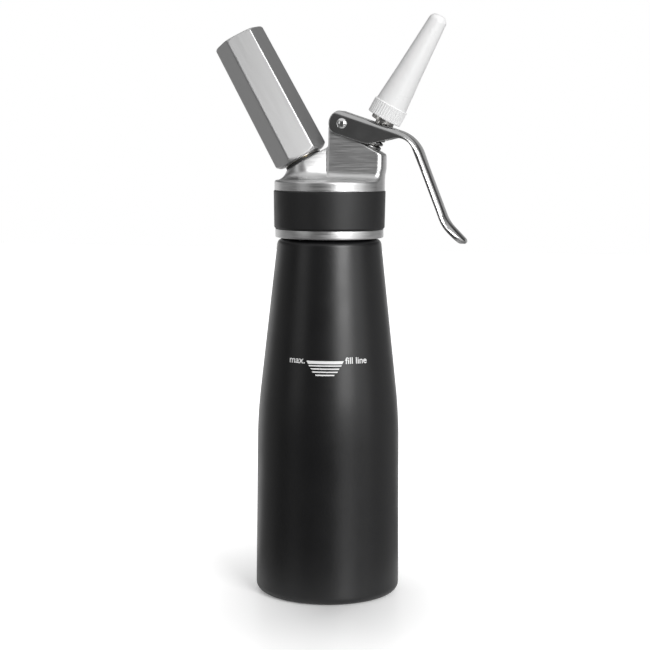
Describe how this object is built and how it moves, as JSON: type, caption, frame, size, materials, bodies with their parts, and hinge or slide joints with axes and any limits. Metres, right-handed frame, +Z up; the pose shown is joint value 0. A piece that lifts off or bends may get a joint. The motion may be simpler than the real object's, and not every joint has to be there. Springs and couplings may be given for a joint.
{
  "type": "whipped cream dispenser",
  "caption": "Aluminium cream whipper bottle with a screw-on cast head, a spring-closed valve worked by a curved lever, a long decorating nozzle and a hexagonal gas charger holder.",
  "frame": {"origin": "centre of the foot, on the surface that the bottle stands on", "axes": "+Z up along the bottle's axis, +X towards the lever, Y across the lever's side walls"},
  "size_m": [0.1564, 0.0894, 0.3582],
  "materials": {
    "bottle_coat": "satin black coating",
    "cast_metal": "brushed",
    "grip_rubber": "matte",
    "lever_steel": "polished with fine brushing",
    "pin_steel": "polished",
    "stem_steel": "turned",
    "spring_steel": "drawn wire",
    "nozzle_plastic": "soft gloss",
    "guide_plastic": "matte",
    "holder_metal": "satin",
    "valve_brass": "turned",
    "seal_rubber": "matte",
    "charger_steel": "zinc plated"
  },
  "bodies": {
    "bottle": {"bottle": "bottle_coat"},
    "gasket": {"head_gasket": "seal_rubber"},
    "head": {"head_casting": "cast_metal", "grip_band": "grip_rubber", "pivot_pin": "pin_steel", "stem_bush": "guide_plastic", "boss_gasket": "seal_rubber", "charging_valve": "valve_brass", "piercing_pin": "stem_steel", "charger_seal": "seal_rubber", "check_sleeve": "seal_rubber", "valve_spring": "spring_steel"},
    "lever": {"lever_arm": "lever_steel"},
    "valve": {"valve_stem": "stem_steel", "poppet_seal": "seal_rubber", "stem_o_ring": "seal_rubber", "spring_washer": "stem_steel", "nozzle_connector": "pin_steel"},
    "nozzle": {"decorator_nozzle": "nozzle_plastic"},
    "charger": {"gas_charger": "charger_steel"},
    "holder": {"charger_holder": "holder_metal", "holder_liner": "stem_steel"}
  },
  "joints": [
    {"name": "head_lift", "type": "slide", "parent": "bottle", "child": "gasket", "axis": [0, 0, 1], "range_m": [0, 0.08]},
    {"name": "head_turn", "type": "hinge", "parent": "gasket", "child": "head", "pos_m": [0, 0, 0.2441], "axis": [0, 0, 1], "range_deg": [0, 540]},
    {"name": "lever_press", "type": "hinge", "parent": "head", "child": "lever", "pos_m": [0.0093, 0, 0.2915], "axis": [0, 1, 0], "range_deg": [0, 8.51]},
    {"name": "valve_slide", "type": "slide", "parent": "head", "child": "valve", "axis": [-0.4825, 0, -0.8759], "range_m": [0, 0.00195], "stiffness_N_per_m": 2000, "springref_m": -0.0012, "deforming": ["valve_spring"]},
    {"name": "nozzle_pull", "type": "slide", "parent": "valve", "child": "nozzle", "axis": [0.4825, 0, 0.8759], "range_m": [0, 0.04]},
    {"name": "holder_pull", "type": "slide", "parent": "head", "child": "charger", "axis": [-0.4825, 0, 0.8759], "range_m": [0, 0.05]},
    {"name": "holder_turn", "type": "hinge", "parent": "charger", "child": "holder", "pos_m": [-0.0386, 0, 0.30877], "axis": [-0.4825, 0, 0.8759], "range_deg": [0, 1080]}
  ],
  "couplings": [
    {"joint": "lever_press", "follows": "valve_slide", "rad_per_m": 76.1}
  ]
}
